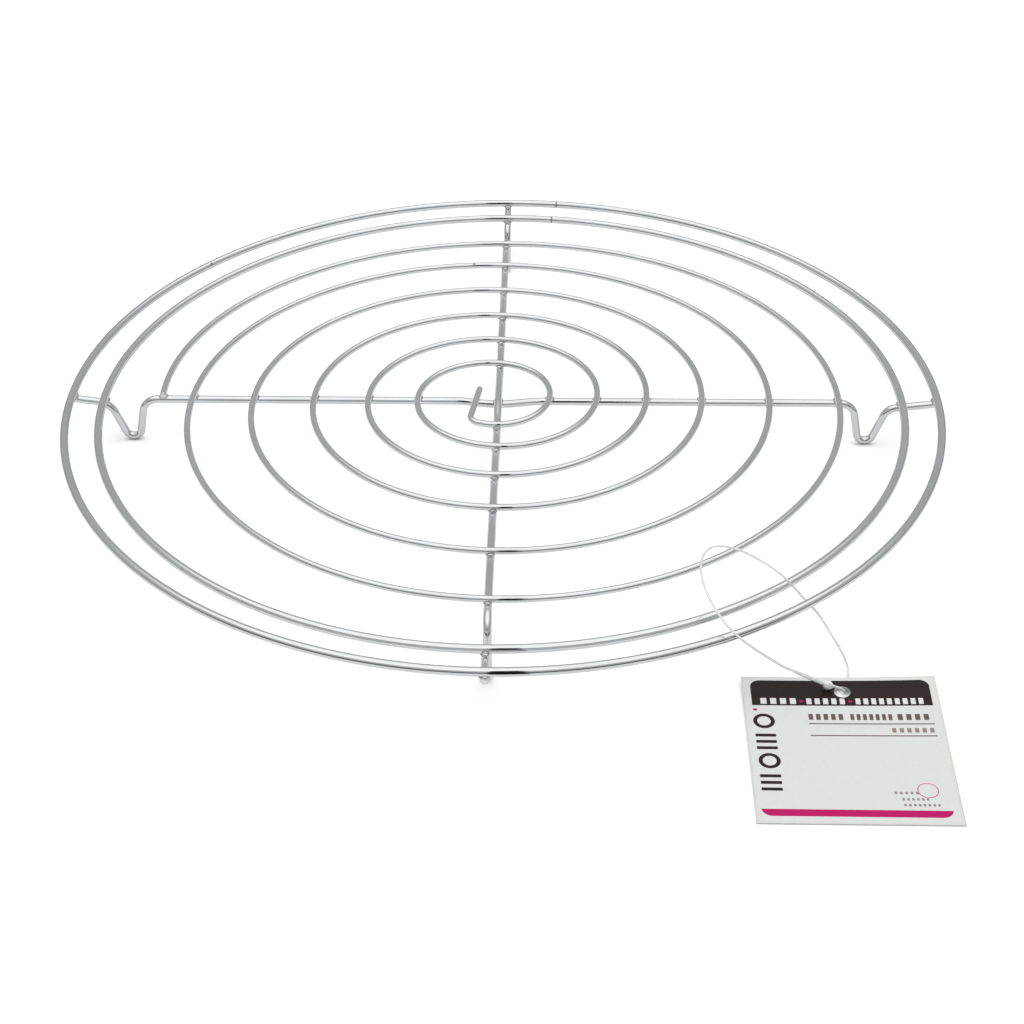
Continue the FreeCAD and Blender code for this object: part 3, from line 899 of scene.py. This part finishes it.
def word(left, right, top, foot, count, fill):
    """The mask of a row of short bars that fill a share of their pitch."""
    pitch = (right - left) / (count - 1 + fill)
    bars = use(tree, stripes, Vector=on_card, Start=left * mm, Pitch=pitch * mm,
               Bar=pitch * fill * mm)["Mask"]
    return maths(tree, "MULTIPLY", bars, mark(left, top, right, foot, 0.3))


def either(masks):
    """Where any of the masks lies."""
    total = masks[0]
    for mask in masks[1:]:
        total = maths(tree, "MAXIMUM", total, mask)
    return total


head_band = maths(tree, "MULTIPLY", mark(2.5, 1.7, 58.2, 20.0, 3.0), mark(0, 0, 60.5, 13.4))
foot_bar = maths(tree, "MULTIPLY", mark(1.8, 49.0, 57.6, 61.6, 3.2), mark(0, 58.7, 60.5, 63))
head_words = either([word(left, right, 10.0, 12.7, count, 0.62) for left, right, count in
                     ((5.2, 16.2, 4), (19.4, 31.3, 5), (34.6, 55.5, 9))])
dots = either([mark(17.3, 10.8, 18.5, 11.9, 0.5), mark(32.4, 10.8, 33.6, 11.9, 0.5),
               mark(2.6, 14.9, 3.9, 15.9, 0.4)])
side_marks = either(
    [hoop(5.6, 20.6, 2.7, 1.25), hoop(5.9, 38.3, 2.7, 1.25)]
    + [mark(2.5, top, 8.8, top + 1.3, 0.3) for top in (26.4, 29.2, 32.0, 44.2, 47.0, 49.8)])
title_words = either([word(left, right, 17.2, 19.9, count, 0.6) for left, right, count in
                      ((19.4, 30.0, 5), (32.2, 45.0, 7), (46.6, 56.2, 4))])
small_words = either([word(44.2, 57.0, 23.5, 25.5, 6, 0.55), word(41.4, 48.5, 51.0, 52.0, 5, 0.5),
                      word(43.4, 51.2, 53.6, 54.6, 6, 0.5), word(43.6, 54.2, 56.0, 57.0, 8, 0.5)])
rules = either([mark(19.2, 21.4, 57.6, 21.9, 0.05), mark(19.2, 26.7, 57.6, 27.2, 0.05)])
badge = hoop(51.4, 50.4, 3.0, 0.35)
board = add(tree, "ShaderNodeTexNoise", {"Vector": place, "Scale": 900.0, "Detail": 4.0})
cloud = add(tree, "ShaderNodeTexNoise", {"Vector": place, "Scale": 40.0, "Detail": 3.0})
colour = blend(tree, board.outputs["Fac"], (0.505, 0.515, 0.505, 1), (0.56, 0.565, 0.555, 1))
for mask, ink in ((title_words, (0.10, 0.075, 0.065, 1)), (small_words, (0.20, 0.17, 0.16, 1)),
                  (rules, (0.13, 0.09, 0.085, 1)), (badge, (0.42, 0.12, 0.22, 1)),
                  (either([head_band, side_marks]), (0.013, 0.007, 0.006, 1)),
                  (head_words, (0.56, 0.56, 0.56, 1)), (either([foot_bar, dots]),
                                                       (0.37, 0.0, 0.09, 1))):
    colour = blend(tree, mask, colour, ink)
tree.links.new(colour, shader.inputs["Base Color"])
rough = between(tree, cloud.outputs["Fac"], 0.3, 0.7, 0.30, 0.42)
tree.links.new(rough, shader.inputs["Roughness"])
bump = add(tree, "ShaderNodeBump", {"Strength": 0.15, "Distance": 0.00005,
                                    "Height": board.outputs["Fac"]})
tree.links.new(bump.outputs[0], shader.inputs["Normal"])
card.data.materials.append(printed)
print(printed.name, len(tree.nodes), "nodes")

# %% [markdown]
# ## Clear nylon
# The loop is nylon with no colour in it, cloudy enough that it shows grey against white.

# %% Nylon
nylon, tree, shader = new_finish("cloudy_nylon", Transmission_Weight=0.55, IOR=1.52)
place = add(tree, "ShaderNodeTexCoord").outputs["Object"]
cloud = add(tree, "ShaderNodeTexNoise", {"Vector": place, "Scale": 700.0, "Detail": 3.0})
haze = use(tree, handling_haze, Vector=place, Scale=260.0)["Mask"]
tree.links.new(blend(tree, cloud.outputs["Fac"], (0.80, 0.81, 0.81, 1), (0.92, 0.93, 0.93, 1)),
               shader.inputs["Base Color"])
tree.links.new(between(tree, haze, 0.0, 1.0, 0.14, 0.32), shader.inputs["Roughness"])
bump = add(tree, "ShaderNodeBump", {"Strength": 0.2, "Distance": 0.00003,
                                    "Height": cloud.outputs["Fac"]})
tree.links.new(bump.outputs[0], shader.inputs["Normal"])
for piece in (strand, socket, tip):
    piece.data.materials.append(nylon)
print(nylon.name, len(tree.nodes), "nodes")

# %% [markdown]
# ## The studio
# Chrome is drawn by its surroundings. A wide white light hangs overhead, the room behind is
# mid-grey, and the floor is painted darker in the chrome away from the rack: a painted
# reflection, which puts the darker edges on each wire. A dark board, out of the camera's sight
# and seen only in the chrome, lies in front of the rack and stands up behind the camera. It puts
# a short black streak on each wire at the front.

# %% Floor and dark boards
def studio_surface(name, corners):
    """A flat four-sided surface that belongs to the studio, and its finish."""
    mesh = bpy.data.meshes.new(name)
    mesh.from_pydata(corners, [], [(0, 1, 2, 3)])
    finish, tree, shader = new_finish(name, Roughness=0.7, Specular_IOR_Level=0.0)
    mesh.materials.append(finish)
    surface = link(name, mesh)
    return surface, tree, shader


floor_reach = 7.0
floor_level = -0.2 * mm
floor, tree, shader = studio_surface("floor", [
    (x * floor_reach, y * floor_reach, floor_level)
    for x, y in ((-1, -1), (1, -1), (1, 1), (-1, 1))])
spot = add(tree, "ShaderNodeTexCoord").outputs["Object"]
across = add(tree, "ShaderNodeSeparateXYZ", {0: spot}).outputs
# Painted reflection: the floor that the chrome sees is painted paler close to the rack, darker
# where it lies both beside and behind it, and near black farther out. The camera sees the floor an
# even pale grey.
aside = between(tree, maths(tree, "ABSOLUTE", across["X"]), 0.08, 0.15, 0.0, 1.0)
rearward = between(tree, across["Y"], -0.01, 0.03, 0.0, 1.0)
painted_near_reflection = blend(tree, maths(tree, "MULTIPLY", aside, rearward), (0.60, 0.60, 0.605, 1),
             (0.42, 0.42, 0.43, 1))
away = add(tree, "ShaderNodeVectorMath", {0: spot}, operation="LENGTH").outputs["Value"]
painted_floor_reflection = blend(tree, between(tree, away, 0.19, 0.34, 0.0, 1.0), painted_near_reflection,
                 (0.13, 0.13, 0.135, 1))
in_chrome = add(tree, "ShaderNodeLightPath").outputs["Is Glossy Ray"]
tree.links.new(blend(tree, in_chrome, (0.93, 0.93, 0.93, 1), painted_floor_reflection),
               shader.inputs["Base Color"])

board_front, board_back, board_top = -0.20, -0.75, 1.0
board_near = (-0.002, 0.018)
board_far = (-0.024, 0.082)
reflection_only_boards = {
    "dark_mat": [(board_far[0], board_back, 0), (board_far[1], board_back, 0),
                 (board_near[1], board_front, 0), (board_near[0], board_front, 0)],
    "dark_stand": [(board_far[0], board_back, 0), (board_far[1], board_back, 0),
                   (board_far[1], board_back, board_top), (board_far[0], board_back, board_top)],
}
# Painted reflection: these black boards show only in the chrome. The camera doesn't see them, they
# cast no shadow, and matte surfaces don't see them.
for name, corners in reflection_only_boards.items():
    surface, tree, shader = studio_surface(name, corners)
    shader.inputs["Base Color"].default_value = (0.01, 0.01, 0.01, 1)
    surface.visible_camera = False
    surface.visible_shadow = False
    surface.visible_diffuse = False

# %% [markdown]
# ## Light and room
# The ceiling light is left out of the reflections, because its sharp edge would draw a hard
# line on every wire. The room is bright above and mid-grey at the sides, with a dark skirting
# behind the camera.

# %% Ceiling light and room
ceiling = bpy.data.lights.new("ceiling_light", "AREA")
ceiling.shape = "RECTANGLE"
ceiling.size, ceiling.size_y = 3.2, 2.6
ceiling.energy = 36.0
ceiling_object = link("ceiling_light", ceiling)
ceiling_object.location = (0.0, -0.2, 1.7)
ceiling_object.visible_glossy = False

world = bpy.data.worlds.new("room")
bpy.context.scene.world = world
world.use_nodes = True
tree = world.node_tree
way = add(tree, "ShaderNodeSeparateXYZ", {0: add(tree, "ShaderNodeTexCoord").outputs["Generated"]})
behind_camera = between(tree, way.outputs["Y"], -0.2, -0.5, 0.0, 1.0)
skirting = blend(tree, behind_camera, (0.38, 0.385, 0.385, 1), (0.06, 0.06, 0.06, 1))
lift = between(tree, way.outputs["Z"], 0.20, 0.27, 0.0, 1.0)
room = blend(tree, lift, skirting, (0.44, 0.445, 0.445, 1))
level = between(tree, way.outputs["Z"], 0.62, 0.80, 0.0, 1.0)
room = blend(tree, level, room, (1.12, 1.12, 1.12, 1))
seen = add(tree, "ShaderNodeLightPath").outputs["Is Camera Ray"]
room = blend(tree, seen, room, (0.93, 0.93, 0.93, 1))
tree.links.new(room, tree.nodes["Background"].inputs["Color"])
bpy.context.scene.view_settings.view_transform = "Standard"
print("studio:", floor.name, *reflection_only_boards, ceiling.name, world.name)
